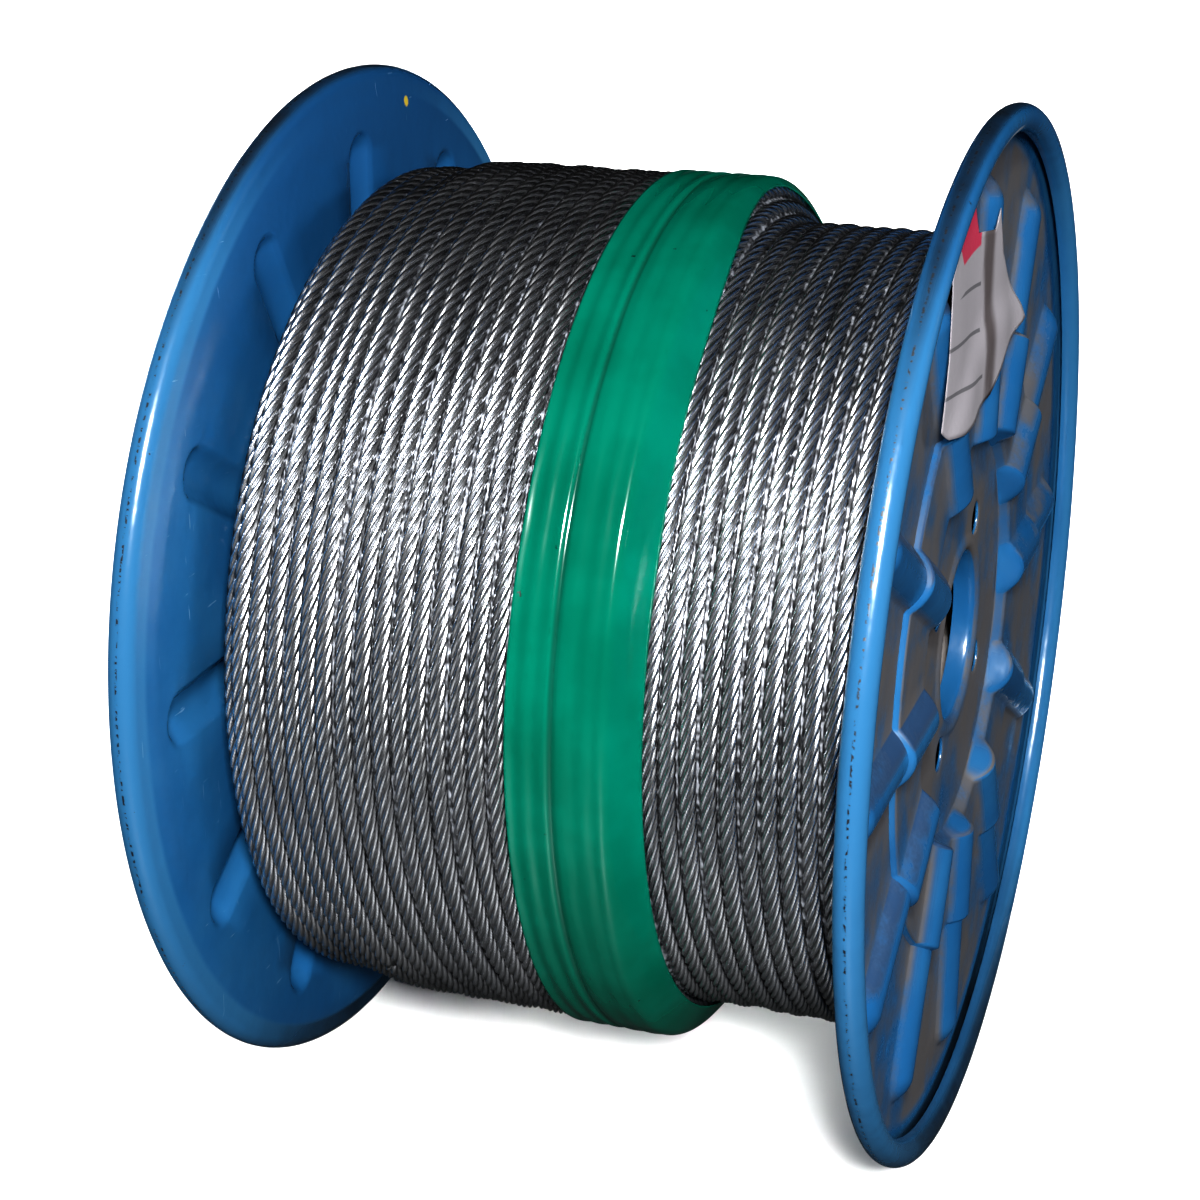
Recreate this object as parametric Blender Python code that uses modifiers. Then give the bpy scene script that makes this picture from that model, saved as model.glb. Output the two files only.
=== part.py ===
"""A steel reel of wire rope: two pressed flanges on a barrel, the wound rope, its tape and its paper label.

The reel's axis is X and its centre is the origin. It stands on the rims of its flanges.
"""

import math

import bmesh
import bpy
import numpy as np
from mathutils import Vector

# Driving dimensions, in metres.
FLANGE_RADIUS = 0.145
SHEET = 0.0012
CLEARANCE = 0.0003

# How far each outer face of the pressed sheet lies from the reel's middle.
HUB_DISC_FACE = 0.0877
INNER_RING_FACE = 0.0907
OUTER_RING_FACE = 0.0889
RIM_FACE = 0.0962

# Radii where the pressed sheet changes level.
ARBOR_RADIUS = 0.0232
HUB_DISC_RADIUS = 0.0558
RECESS_RADIUS = 0.0590
STEP_RADIUS = 0.0856
STEP_RUN = 0.0020

# The curled rim, and the slope between the flat web's edge and the curl's middle.
RIM_CURL_RADIUS = 0.0038
RIM_CURL_SWEEP = 270.0
RIM_CURL_STEPS = 6
RIM_SLOPE_RUN = 0.0087
WEB_RADIUS = FLANGE_RADIUS - RIM_CURL_RADIUS - RIM_SLOPE_RUN

# The collar drawn inwards round the arbor hole.
COLLAR_DEPTH = 0.0095
COLLAR_BEND = 0.0028

# Pressed ribs, spaced evenly round the flange, each with a flat crest and rounded flanks.
RIB_COUNT = 12
RIB_HEIGHT = 0.0046
RIB_CREST_HALF_WIDTH = 0.0032
RIB_HALF_WIDTH = 0.0092
RIB_CREST_EDGE = 0.88
RIB_END_MARGIN = 0.0063
RIB_OUTER_RADIUS = WEB_RADIUS - RIB_END_MARGIN
RIB_END_RUN = 0.0080
COLUMNS_PER_RIB = 6

# Small round holes in the hub disc.
DRIVE_HOLE_COUNT = 4
DRIVE_HOLE_RADIUS = 0.0046
DRIVE_HOLE_PITCH_RADIUS = 0.0334
DRIVE_HOLE_ANGLE = 59.0
DRIVE_HOLE_SIDES = 16

# The barrel's wall, and the rope wound on it.
BARREL_WALL = 0.0015
ROPE_DIAMETER = 0.0050
TURN_GAP = 0.00007
TURN_CREST_HALF_WIDTH = 0.0011
VALLEY_DEPTH = 0.0021
FULL_RADIUS = 0.1206
LAYER_RISE = 0.00535
LAYERS_DOWN = 2
SHOULDER_DROP = 0.0250
SHOULDER_WIDTH = 0.0115
STEP_DOWN_START = 0.0239
STEP_DOWN_END = 0.0363
TURNED_STEPS = 48

# The tape band, measured along the reel's axis.
TAPE_LEFT = 0.0007
TAPE_RIGHT = 0.0331
TAPE_THICKNESS = 0.0004

# The paper label on the right flange's ribs: where its corners lie across the flange, its height at
# each side, the gap from its top left corner to the curled rim, and how it settles on the ribs.
LABEL_TOP_LEFT = -0.0680
LABEL_TOP_RIGHT = -0.0030
LABEL_BOTTOM_LEFT = -0.0690
LABEL_BOTTOM_RIGHT = 0.0290
LABEL_LEFT_HEIGHT = 0.0430
LABEL_RIGHT_HEIGHT = 0.0370
LABEL_RIM_GAP = 0.0008
LABEL_THICKNESS = 0.0003
LABEL_SAG = 0.0015
LABEL_SETTLE_RUN = 0.0150
LABEL_COLUMNS = 12
LABEL_ROWS = 8


def clear_scene():
    for old in list(bpy.data.objects):
        bpy.data.objects.remove(old)


def new_collection(name):
    collection = bpy.data.collections.new(name)
    bpy.context.scene.collection.children.link(collection)
    return collection


def paint(name, colour, roughness, metallic):
    material = bpy.data.materials.new(name)
    material.use_nodes = True
    shader = material.node_tree.nodes["Principled BSDF"]
    shader.inputs["Base Color"].default_value = (*colour, 1.0)
    shader.inputs["Roughness"].default_value = roughness
    shader.inputs["Metallic"].default_value = metallic
    return material


def profile_mesh(name, points, is_closed):
    """A wire profile of (radius, height) points in the XZ plane, for a Screw modifier round Z."""
    count = len(points)
    edges = [(i, i + 1) for i in range(count - 1)]
    if is_closed:
        edges.append((count - 1, 0))
    mesh = bpy.data.meshes.new(name)
    mesh.from_pydata([(radius, 0.0, height) for radius, height in points], edges, [])
    return mesh


def add_screw(target, steps):
    screw = target.modifiers.new("Turned", "SCREW")
    screw.axis = "Z"
    screw.angle = math.tau
    screw.steps = steps
    screw.render_steps = steps
    screw.use_merge_vertices = True
    screw.merge_threshold = 0.00001
    return screw


def evaluated_mesh(target):
    bpy.context.view_layer.update()
    graph = bpy.context.evaluated_depsgraph_get()
    return bpy.data.meshes.new_from_object(target.evaluated_get(graph))


def turned_object(name, points, material, collection):
    """A solid of revolution about the reel's axis, from a closed profile of (radius, x) points."""
    body = bpy.data.objects.new(name, profile_mesh(name, points, True))
    collection.objects.link(body)
    add_screw(body, TURNED_STEPS)
    # The profile's local Z becomes the reel's X axis.
    body.rotation_euler = (0.0, math.pi / 2, 0.0)
    body.data.materials.append(material)
    return body


def arc(centre, radius, start, sweep, steps):
    """Points (radius, height) of an arc, with angles in degrees from the radial direction."""
    return [
        (
            centre[0] + radius * math.cos(math.radians(start + sweep * i / steps)),
            centre[1] + radius * math.sin(math.radians(start + sweep * i / steps)),
        )
        for i in range(steps + 1)
    ]


def flange_profile():
    """The middle of the pressed sheet as (radius, height) points, from the arbor collar to the curled rim."""
    half = SHEET / 2
    hub = HUB_DISC_FACE - half
    inner = INNER_RING_FACE - half
    outer = OUTER_RING_FACE - half
    bore = ARBOR_RADIUS + half
    bend = COLLAR_BEND
    curl = RIM_CURL_RADIUS - half
    curl_centre = (FLANGE_RADIUS - RIM_CURL_RADIUS, RIM_FACE - RIM_CURL_RADIUS)
    points = [(bore, hub - COLLAR_DEPTH)]
    points += arc((bore + bend, hub - bend), bend, 180.0, -90.0, 3)
    points += [
        (HUB_DISC_RADIUS, hub),
        (RECESS_RADIUS, inner),
        (STEP_RADIUS - STEP_RUN / 2, inner),
        (STEP_RADIUS + STEP_RUN / 2, outer),
        (RIB_OUTER_RADIUS - RIB_END_RUN, outer),
        (RIB_OUTER_RADIUS - RIB_END_RUN / 4, outer),
        (RIB_OUTER_RADIUS, outer),
        (WEB_RADIUS, outer),
    ]
    points += arc(curl_centre, curl, -90.0, RIM_CURL_SWEEP, RIM_CURL_STEPS)
    return points


def smooth_ramp(value, low, high):
    share = min(max((value - low) / (high - low), 0.0), 1.0)
    return share * share * (3 - 2 * share)


def rib_column(angle):
    """The nearest rib's middle line, and this column's number from it: 0 on it, 3 midway between two ribs."""
    spacing = math.tau / RIB_COUNT
    middle = spacing * round(angle / spacing)
    return middle, round((angle - middle) * COLUMNS_PER_RIB / spacing)


def column_angle(radius, angle):
    """Where a column of the mesh runs: along the crest and foot of the ribs, and evenly spaced at the rim."""
    middle, number = rib_column(angle)
    if abs(number) not in (1, 2):
        return angle
    across = RIB_CREST_HALF_WIDTH if abs(number) == 1 else RIB_HALF_WIDTH
    along_rib = middle + math.copysign(math.asin(across / max(radius, HUB_DISC_RADIUS)), number)
    share = smooth_ramp(radius, RIB_OUTER_RADIUS, WEB_RADIUS)
    return along_rib + (angle - along_rib) * share


def rib_rise(radius, angle):
    """How far a rib raises the sheet here."""
    number = abs(rib_column(angle)[1])
    if number > 1:
        return 0.0
    start = smooth_ramp(radius, HUB_DISC_RADIUS, RECESS_RADIUS)
    end = min(max((RIB_OUTER_RADIUS - radius) / RIB_END_RUN, 0.0), 1.0)
    rounded_end = math.sqrt(1.0 - (1.0 - end) ** 2)
    return RIB_HEIGHT * start * rounded_end * (RIB_CREST_EDGE if number == 1 else 1.0)


def flange_sheet():
    """The pressed sheet without thickness, facing +Z, with its ribs raised."""
    guide = bpy.data.objects.new("flange_guide", profile_mesh("flange_guide", flange_profile(), False))
    bpy.context.scene.collection.objects.link(guide)
    add_screw(guide, RIB_COUNT * COLUMNS_PER_RIB)
    sheet = evaluated_mesh(guide)
    bpy.data.objects.remove(guide)
    for vertex in sheet.vertices:
        x, y, height = vertex.co
        radius = math.hypot(x, y)
        angle = math.atan2(y, x)
        height += rib_rise(radius, angle)
        angle = column_angle(radius, angle)
        vertex.co = (radius * math.cos(angle), radius * math.sin(angle), height)
    return sheet


def drive_hole_cutter(name, facing, collection):
    """Four round pins through the hub disc, in one cutter."""
    mesh = bpy.data.meshes.new(name)
    shape = bmesh.new()
    length = 10 * SHEET
    for i in range(DRIVE_HOLE_COUNT):
        angle = math.radians(DRIVE_HOLE_ANGLE) + math.tau * i / DRIVE_HOLE_COUNT
        made = bmesh.ops.create_cone(
            shape,
            cap_ends=True,
            segments=DRIVE_HOLE_SIDES,
            radius1=DRIVE_HOLE_RADIUS,
            radius2=DRIVE_HOLE_RADIUS,
            depth=length,
        )
        place = (
            -DRIVE_HOLE_PITCH_RADIUS * math.sin(angle),
            DRIVE_HOLE_PITCH_RADIUS * math.cos(angle),
            HUB_DISC_FACE - SHEET / 2,
        )
        bmesh.ops.translate(shape, verts=made["verts"], vec=place)
    shape.to_mesh(mesh)
    shape.free()
    cutter = bpy.data.objects.new(name, mesh)
    collection.objects.link(cutter)
    cutter.rotation_euler = (0.0, facing * math.pi / 2, 0.0)
    cutter.hide_render = True
    cutter.display_type = "WIRE"
    return cutter


def make_flange(name, sheet, facing, material, collection, cutters):
    """One flange: facing is 1 for the end at +X and -1 for the end at -X."""
    flange = bpy.data.objects.new(name, sheet.copy())
    collection.objects.link(flange)
    flange.rotation_euler = (0.0, facing * math.pi / 2, 0.0)
    flange.data.materials.append(material)
    skin = flange.modifiers.new("Sheet thickness", "SOLIDIFY")
    skin.thickness = SHEET
    skin.offset = 0.0
    skin.use_even_offset = True
    drill = flange.modifiers.new("Drive holes", "BOOLEAN")
    drill.operation = "DIFFERENCE"
    drill.solver = "EXACT"
    drill.object = drive_hole_cutter(name + "_drill", facing, cutters)
    flange.data.shade_smooth()
    return flange


def barrel_bore():
    """The barrel fits over the recessed hub of each flange."""
    return RECESS_RADIUS + SHEET + CLEARANCE


def make_barrel(material, collection):
    half_length = INNER_RING_FACE - SHEET - CLEARANCE
    inner = barrel_bore()
    outer = inner + BARREL_WALL
    points = [(outer, half_length), (outer, -half_length), (inner, -half_length), (inner, half_length)]
    return turned_object("barrel", points, material, collection)


def winding_half_length():
    """The winding fills the room between the rings of the flanges that come nearest to it."""
    return min(INNER_RING_FACE, OUTER_RING_FACE) - SHEET - CLEARANCE


def rope_radius(x):
    """The radius of the top of the turns: sunk at the left end, full up to the tape, then two layers lower."""
    drop = smooth_ramp(x, STEP_DOWN_START, STEP_DOWN_END) * LAYER_RISE * LAYERS_DOWN
    shoulder = max(1.0 - (x + winding_half_length()) / SHOULDER_WIDTH, 0.0) ** 1.5
    return FULL_RADIUS - drop - SHOULDER_DROP * shoulder


def turn_crests():
    """The two edges of each turn's crest as (radius, x) pairs, from the right flange to the left one."""
    half_length = winding_half_length()
    turns = round(2 * half_length / (ROPE_DIAMETER + TURN_GAP))
    pitch = 2 * half_length / turns
    places = [half_length - (i + 0.5) * pitch for i in range(turns)]
    half = TURN_CREST_HALF_WIDTH
    return [((rope_radius(x), x + half), (rope_radius(x), x - half)) for x in places]


def over_turns(x):
    """The radius of a straight line laid over the turns at this place."""
    edges = [edge for crest in turn_crests() for edge in crest][::-1]
    return float(np.interp(x, [place for _, place in edges], [radius for radius, _ in edges]))


def make_winding(material, collection):
    """The wound rope as one ring: its outside shows each turn, and its ends lie against the flanges."""
    half_length = winding_half_length()
    crests = turn_crests()
    points = [(crests[0][0][0] - VALLEY_DEPTH, half_length), *crests[0]]
    for before, after in zip(crests, crests[1:]):
        valley = (before[1][0] + after[0][0]) / 2 - VALLEY_DEPTH
        points.append((valley, (before[1][1] + after[0][1]) / 2))
        points.extend(after)
    points.append((crests[-1][1][0] - VALLEY_DEPTH, -half_length))
    bore = barrel_bore() + BARREL_WALL + CLEARANCE
    points += [(bore, -half_length), (bore, half_length)]
    return turned_object("rope_winding", points, material, collection)


def make_tape(material, collection):
    """The tape lies tight over the turns and bridges the valleys between them."""
    covered = [x for crest in turn_crests() for _, x in crest if TAPE_LEFT < x < TAPE_RIGHT]
    inside = [(over_turns(x) + CLEARANCE, x) for x in [TAPE_RIGHT, *covered, TAPE_LEFT]]
    outside = [(radius + TAPE_THICKNESS, x) for radius, x in inside]
    return turned_object("tape_band", outside + inside[::-1], material, collection)


def label_corners():
    """The label's bottom left, bottom right, top left and top right corners as (y, z)."""
    corner_radius = FLANGE_RADIUS - 2 * RIM_CURL_RADIUS - LABEL_RIM_GAP
    top = math.sqrt(corner_radius**2 - LABEL_TOP_LEFT**2)
    return (
        Vector((LABEL_BOTTOM_LEFT, top - LABEL_LEFT_HEIGHT)),
        Vector((LABEL_BOTTOM_RIGHT, top - LABEL_RIGHT_HEIGHT)),
        Vector((LABEL_TOP_LEFT, top)),
        Vector((LABEL_TOP_RIGHT, top)),
    )


def label_lie(y, z):
    """How far out the paper lies: it bridges the foot of the step in the ribs and sags between the ribs."""
    higher, lower = max(INNER_RING_FACE, OUTER_RING_FACE), min(INNER_RING_FACE, OUTER_RING_FACE)
    past_step = math.hypot(y, z) - STEP_RADIUS
    if lower == INNER_RING_FACE:
        past_step = -past_step
    crests = higher + (lower - higher) * smooth_ramp(past_step, STEP_RUN, LABEL_SETTLE_RUN) + RIB_HEIGHT
    from_rib = math.atan2(y, z) * RIB_COUNT / 2
    return crests + CLEARANCE - LABEL_SAG * math.sin(from_rib) ** 2


def make_label(material, collection):
    """A sheet of paper that lies on the ribs and sags a little between them."""
    mesh = bpy.data.meshes.new("paper_label")
    shape = bmesh.new()
    bmesh.ops.create_grid(shape, x_segments=LABEL_COLUMNS, y_segments=LABEL_ROWS, size=0.5)
    bottom_left, bottom_right, top_left, top_right = label_corners()
    for vertex in shape.verts:
        across = vertex.co.x + 0.5
        bottom = bottom_left.lerp(bottom_right, across)
        top = top_left.lerp(top_right, across)
        y, z = bottom.lerp(top, vertex.co.y + 0.5)
        vertex.co = (label_lie(y, z), y, z)
    shape.to_mesh(mesh)
    shape.free()
    label = bpy.data.objects.new("paper_label", mesh)
    collection.objects.link(label)
    label.data.materials.append(material)
    paper = label.modifiers.new("Paper thickness", "SOLIDIFY")
    paper.thickness = LABEL_THICKNESS
    paper.offset = 1.0
    label.data.shade_smooth()
    return label


def build():
    clear_scene()
    reel = new_collection("wire_rope_reel")
    cutters = new_collection("cutters")
    cutters.hide_render = True
    blue = paint("blue_paint", (0.02, 0.15, 0.45), 0.3, 0.0)
    steel = paint("barrel_steel", (0.25, 0.25, 0.26), 0.5, 1.0)
    zinc = paint("galvanised_rope", (0.42, 0.44, 0.47), 0.35, 1.0)
    green = paint("green_tape", (0.0, 0.25, 0.14), 0.2, 0.0)
    white = paint("label_paper", (0.75, 0.73, 0.72), 0.8, 0.0)
    sheet = flange_sheet()
    make_flange("left_flange", sheet, -1, blue, reel, cutters)
    make_flange("right_flange", sheet, 1, blue, reel, cutters)
    make_barrel(steel, reel)
    make_winding(zinc, reel)
    make_tape(green, reel)
    make_label(white, reel)


build()
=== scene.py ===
"""A steel reel of galvanised wire rope: painted flanges, barrel, wound rope, tape band and paper label."""

import math

import bpy
import numpy as np
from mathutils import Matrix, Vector


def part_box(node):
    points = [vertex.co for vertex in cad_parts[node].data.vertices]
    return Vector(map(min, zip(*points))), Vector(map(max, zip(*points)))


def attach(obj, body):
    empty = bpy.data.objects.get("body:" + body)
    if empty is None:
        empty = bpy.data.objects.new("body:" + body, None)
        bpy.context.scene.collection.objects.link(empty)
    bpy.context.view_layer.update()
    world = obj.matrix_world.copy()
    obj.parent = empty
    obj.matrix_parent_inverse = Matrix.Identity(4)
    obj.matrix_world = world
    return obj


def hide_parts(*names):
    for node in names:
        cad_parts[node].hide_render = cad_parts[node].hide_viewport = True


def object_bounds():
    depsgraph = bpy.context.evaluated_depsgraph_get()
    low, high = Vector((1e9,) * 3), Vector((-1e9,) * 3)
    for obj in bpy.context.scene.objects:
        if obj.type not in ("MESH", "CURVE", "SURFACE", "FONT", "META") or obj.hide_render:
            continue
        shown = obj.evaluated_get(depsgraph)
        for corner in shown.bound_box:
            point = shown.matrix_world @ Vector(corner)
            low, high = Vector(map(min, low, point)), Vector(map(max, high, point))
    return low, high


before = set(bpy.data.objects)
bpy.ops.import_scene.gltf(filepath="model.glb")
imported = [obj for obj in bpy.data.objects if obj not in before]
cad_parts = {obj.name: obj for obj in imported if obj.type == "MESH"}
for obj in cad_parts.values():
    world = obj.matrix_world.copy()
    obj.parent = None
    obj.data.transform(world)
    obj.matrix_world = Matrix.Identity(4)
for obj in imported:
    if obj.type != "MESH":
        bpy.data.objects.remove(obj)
cad_low, cad_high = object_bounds()

# Barrel
# A rolled steel tube between the flanges that carries the winding. It stays bare inside, and only
# shows through the arbor holes, dull and lightly oiled.
BARREL_COLOUR = (0.075, 0.070, 0.068, 1.0)
BARREL_STAIN = (0.035, 0.026, 0.021, 1.0)


class Wire:
    """One socket of a material's nodes. Python's arithmetic on it adds Math nodes."""

    def __init__(self, socket):
        self.socket = socket

    def node(self, kind, settings, sockets, output=0):
        """Adds a node of this type. Its settings go first, then the values or links of its sockets."""
        tree = self.socket.id_data
        made = tree.nodes.new(kind)
        for name, value in settings.items():
            setattr(made, name, value)
        for key, value in sockets.items():
            if isinstance(value, Wire):
                tree.links.new(value.socket, made.inputs[key])
            else:
                made.inputs[key].default_value = value
        return Wire(made.outputs[output])

    def maths(self, operation, other=0.0):
        return self.node("ShaderNodeMath", {"operation": operation}, {0: self, 1: other})

    def __add__(self, other):
        return self.maths("ADD", other)

    __radd__ = __add__

    def __sub__(self, other):
        return self.maths("SUBTRACT", other)

    def __rsub__(self, other):
        return self.node("ShaderNodeMath", {"operation": "SUBTRACT"}, {0: other, 1: self})

    def __mul__(self, other):
        return self.maths("MULTIPLY", other)

    __rmul__ = __mul__

    def __pow__(self, other):
        return self.maths("POWER", other)

    def slope(self, low, high):
        """0 below low, 1 above high and smooth between them, also where high is the lower number."""
        settings = {"interpolation_type": "SMOOTHSTEP"}
        return self.node("ShaderNodeMapRange", settings, {"Value": self, "From Min": low, "From Max": high})

    def tint(self, first, second):
        """The first colour where this is 0 and the second where it is 1."""
        return self.node("ShaderNodeMix", {"data_type": "RGBA"}, {0: self, 6: first, 7: second}, 2)

    def noise(self, scale, detail=2.0, stretch=(1.0, 1.0, 1.0)):
        """Cloudy values round 0.5 at this place, with this many clouds a metre."""
        place = self.node("ShaderNodeVectorMath", {"operation": "MULTIPLY"}, {0: self, 1: stretch})
        return self.node("ShaderNodeTexNoise", {}, {"Vector": place, "Scale": scale, "Detail": detail})

    def axis(self, number):
        return self.node("ShaderNodeSeparateXYZ", {}, {0: self}, number)

    def bump(self, distance):
        """A shading normal from this height, which stands for this many metres."""
        return self.node("ShaderNodeBump", {}, {"Height": self, "Distance": distance})

    def feed(self, shader, name):
        self.socket.id_data.links.new(self.socket, shader.inputs[name])


def new_finish(name):
    """A material, its shader and the place on the object."""
    finish = bpy.data.materials.new(name)
    finish.use_nodes = True
    nodes = finish.node_tree.nodes
    place = Wire(nodes.new("ShaderNodeTexCoord").outputs["Object"])
    return finish, nodes["Principled BSDF"], place


barrel_steel, shader, place = new_finish("bare_steel")
stains = place.noise(60.0, 5.0).slope(0.45, 0.65)
stains.tint(BARREL_COLOUR, BARREL_STAIN).feed(shader, "Base Color")
(0.35 + 0.3 * stains).feed(shader, "Roughness")
shader.inputs["Metallic"].default_value = 0.6

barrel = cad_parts["barrel"]
barrel.data.materials.clear()
barrel.data.materials.append(barrel_steel)

# Flanges
# Each flange is one disc of steel sheet, pressed with a sunk hub, a step and twelve ribs, its rim
# curled into a bead and its arbor hole drawn into a collar, then sprayed with glossy blue enamel.
FLANGE_RADIUS = 0.145
SHEET = 0.0012
HUB_DISC_FACE = 0.0877
INNER_RING_FACE = 0.0907
OUTER_RING_FACE = 0.0889
RIM_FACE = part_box("right_flange")[1].x
ARBOR_RADIUS = 0.0232
COLLAR_DEPTH = 0.0056
COLLAR_BEND = 0.0022
LIP_RISE = 0.0008
LIP_RUN = 0.0030
HUB_DISC_RADIUS = 0.0558
RECESS_RADIUS = 0.0590
STEP_RADIUS = 0.0856
STEP_RUN = 0.0011
WEB_RADIUS = 0.1325
RIM_CURL_RADIUS = 0.0038
RIM_CURL_SWEEP = 285.0
RIM_CURL_STEPS = 24
RIB_COUNT = 12
RIB_HEIGHT = 0.0046
RIB_HALF_WIDTH = 0.0083
RIB_ROUNDING = 0.85
RIB_FOOT = 0.13
RIB_OUTER_RADIUS = 0.1288
DRIVE_HOLE_COUNT = 4
DRIVE_HOLE_RADIUS = 0.0046
DRIVE_HOLE_PITCH_RADIUS = 0.0334
DRIVE_HOLE_ANGLE = 59.0
DRIVE_HOLE_ROUNDING = 0.0006
DRIVE_HOLE_SIDES = 32

# Columns of the mesh on each side of a rib, and from its foot to the middle of the web.
FLANK_COLUMNS = 10
WEB_COLUMNS = 2

ENAMEL = (0.018, 0.112, 0.260, 1.0)
ENAMEL_WORN = (0.028, 0.140, 0.295, 1.0)
ENAMEL_RIM_PAINTED_LIGHT = (0.040, 0.165, 0.320, 1.0)
ENAMEL_PAINTED_SHADE = (0.014, 0.076, 0.185, 1.0)
DUST = (0.075, 0.088, 0.112, 1.0)
DUST_BROWN = (0.098, 0.092, 0.092, 1.0)
CHIP = (0.004, 0.006, 0.012, 1.0)
NEAR_SIDE_SHADE_COLOUR = (0.009, 0.050, 0.125, 1.0)
RIM_DIRT_AND_SHADE = (0.012, 0.022, 0.036, 1.0)
SCRATCH = (0.200, 0.380, 0.560, 1.0)
YELLOW_PAINT = (0.550, 0.420, 0.050, 1.0)
CUT_EDGE = (0.550, 0.570, 0.600, 1.0)

# Where each finish on the enamel starts, and where there is all of it, in metres.
STEP_DUST_RADII = (STEP_RADIUS + 0.0010, STEP_RADIUS - 0.0010)
WEB_DUST_DEPTH = (0.0024, 0.0006)
WEB_DUST_RADII = (0.1370, 0.1335)
RIB_DUST_RADII = (0.1300, 0.1270)
SHADE_SIDE = (0.010, -0.020)
RIM_RADII = (0.1365, 0.1385)
RIM_FOOT_HEIGHTS = (-0.100, -0.138)
RIM_PAINTED_LIGHT_HEIGHTS = (0.138, 0.100)
SHADED_FACE_HEIGHTS = (0.050, 0.135)
ROLLING_LINE = (0.0005, 0.0001)
CREST_RADII = (FLANGE_RADIUS - 0.0010, FLANGE_RADIUS - 0.0004)
LIP_RADIUS = 0.1395
LIP_LINE = (0.0007, 0.0003)
LIP_FACE = (0.0945, 0.0948)
LIP_HEIGHTS = (0.118, 0.126)
LIP_SIDE = (0.014, 0.002)
SPECK_PLACE = (-0.0878, 0.0328, 0.1314)
SPECK_SIZE = (0.0024, 0.0018)


def eased(values, start, end, soft=0.25, soft_end=None):
    """0 at start and 1 at end, on a straight slope between two bends that take up these shares of it."""
    soft_end = soft if soft_end is None else soft_end
    share = np.clip((values - start) / (end - start), 0.0, 1.0)
    steepest = 1 / (1 - soft / 2 - soft_end / 2)
    middle = steepest * (share - soft / 2)
    beyond = np.where(share > 1 - soft_end, 1 - steepest * (1 - share) ** 2 / (2 * soft_end), middle)
    return np.where(share < soft, steepest * share**2 / (2 * soft), beyond)


def grid_mesh(name, points, is_ring_closed=False, has_caps=False):
    """A mesh of quads through rows of points. Each row joins up with its own start. With
    is_ring_closed the last row joins the first, and with has_caps a face closes each end."""
    rows, columns = points.shape[:2]
    number = np.arange(rows * columns).reshape(rows, columns)
    if is_ring_closed:
        number = np.vstack([number, number[:1]])
    beside = np.roll(number, -1, axis=1)
    faces = np.stack([number[:-1], beside[:-1], beside[1:], number[1:]], axis=-1).reshape(-1, 4).tolist()
    if has_caps:
        faces += [number[0, ::-1].tolist(), number[-1].tolist()]
    mesh = bpy.data.meshes.new(name)
    mesh.from_pydata(points.reshape(-1, 3).tolist(), [], faces)
    mesh.shade_smooth()
    return mesh


def new_piece(name, mesh, *finishes):
    piece = bpy.data.objects.new(name, mesh)
    bpy.context.scene.collection.objects.link(piece)
    for finish in finishes:
        mesh.materials.append(finish)
    return piece


def evaluated_mesh(piece):
    """The piece's mesh with its modifiers applied."""
    graph = bpy.context.evaluated_depsgraph_get()
    return bpy.data.meshes.new_from_object(piece.evaluated_get(graph))


def arc(centre, radius, start, sweep, steps):
    """Points (radius, height) on an arc, with its angles in degrees from the radial direction."""
    angles = np.radians(start + sweep * np.arange(steps + 1) / steps)
    return np.stack([centre[0] + radius * np.cos(angles), centre[1] + radius * np.sin(angles)], axis=1)


def flange_profile():
    """The middle of the sheet without its ribs, as (radius, height) points from the collar to the rim."""
    half = SHEET / 2
    hub, inner, outer = HUB_DISC_FACE - half, INNER_RING_FACE - half, OUTER_RING_FACE - half
    bore = ARBOR_RADIUS + half
    lip = bore + COLLAR_BEND
    curl = RIM_CURL_RADIUS - half
    curl_centre = (FLANGE_RADIUS - RIM_CURL_RADIUS, RIM_FACE - RIM_CURL_RADIUS)
    margin = 0.0005
    stops = [
        (lip, 0),
        (lip + LIP_RUN, 6),
        (HUB_DISC_RADIUS - margin, 10),
        (RECESS_RADIUS + margin, 12),
        (STEP_RADIUS - STEP_RUN / 2 - margin, 12),
        (STEP_RADIUS + STEP_RUN / 2 + margin, 10),
        (RIB_OUTER_RADIUS - RIB_HALF_WIDTH, 12),
        (RIB_OUTER_RADIUS + margin, 16),
        (WEB_RADIUS, 3),
        (curl_centre[0], 4),
    ]
    radii = [lip]
    for (before, _), (after, rows) in zip(stops, stops[1:]):
        radii.extend(before + (after - before) * (i + 1) / rows for i in range(rows))
    radii = np.array(radii)
    heights = (
        hub
        + LIP_RISE * (1 - eased(radii, lip, lip + LIP_RUN, 0.4))
        + (inner - hub) * eased(radii, HUB_DISC_RADIUS, RECESS_RADIUS, 0.2)
        + (outer - inner) * eased(radii, STEP_RADIUS - STEP_RUN / 2, STEP_RADIUS + STEP_RUN / 2, 0.25)
        + (curl_centre[1] - curl - outer) * eased(radii, WEB_RADIUS, curl_centre[0], 0.4)
    )
    collar = [(bore, hub - COLLAR_DEPTH), (bore, hub - COLLAR_DEPTH / 2)]
    bend = arc((lip, hub + LIP_RISE - COLLAR_BEND), COLLAR_BEND, 180.0, -90.0, 6)
    rim = arc(curl_centre, curl, -90.0, RIM_CURL_SWEEP, RIM_CURL_STEPS)
    return np.vstack([collar, bend[:-1], np.stack([radii, heights], axis=1), rim[1:]])


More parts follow.
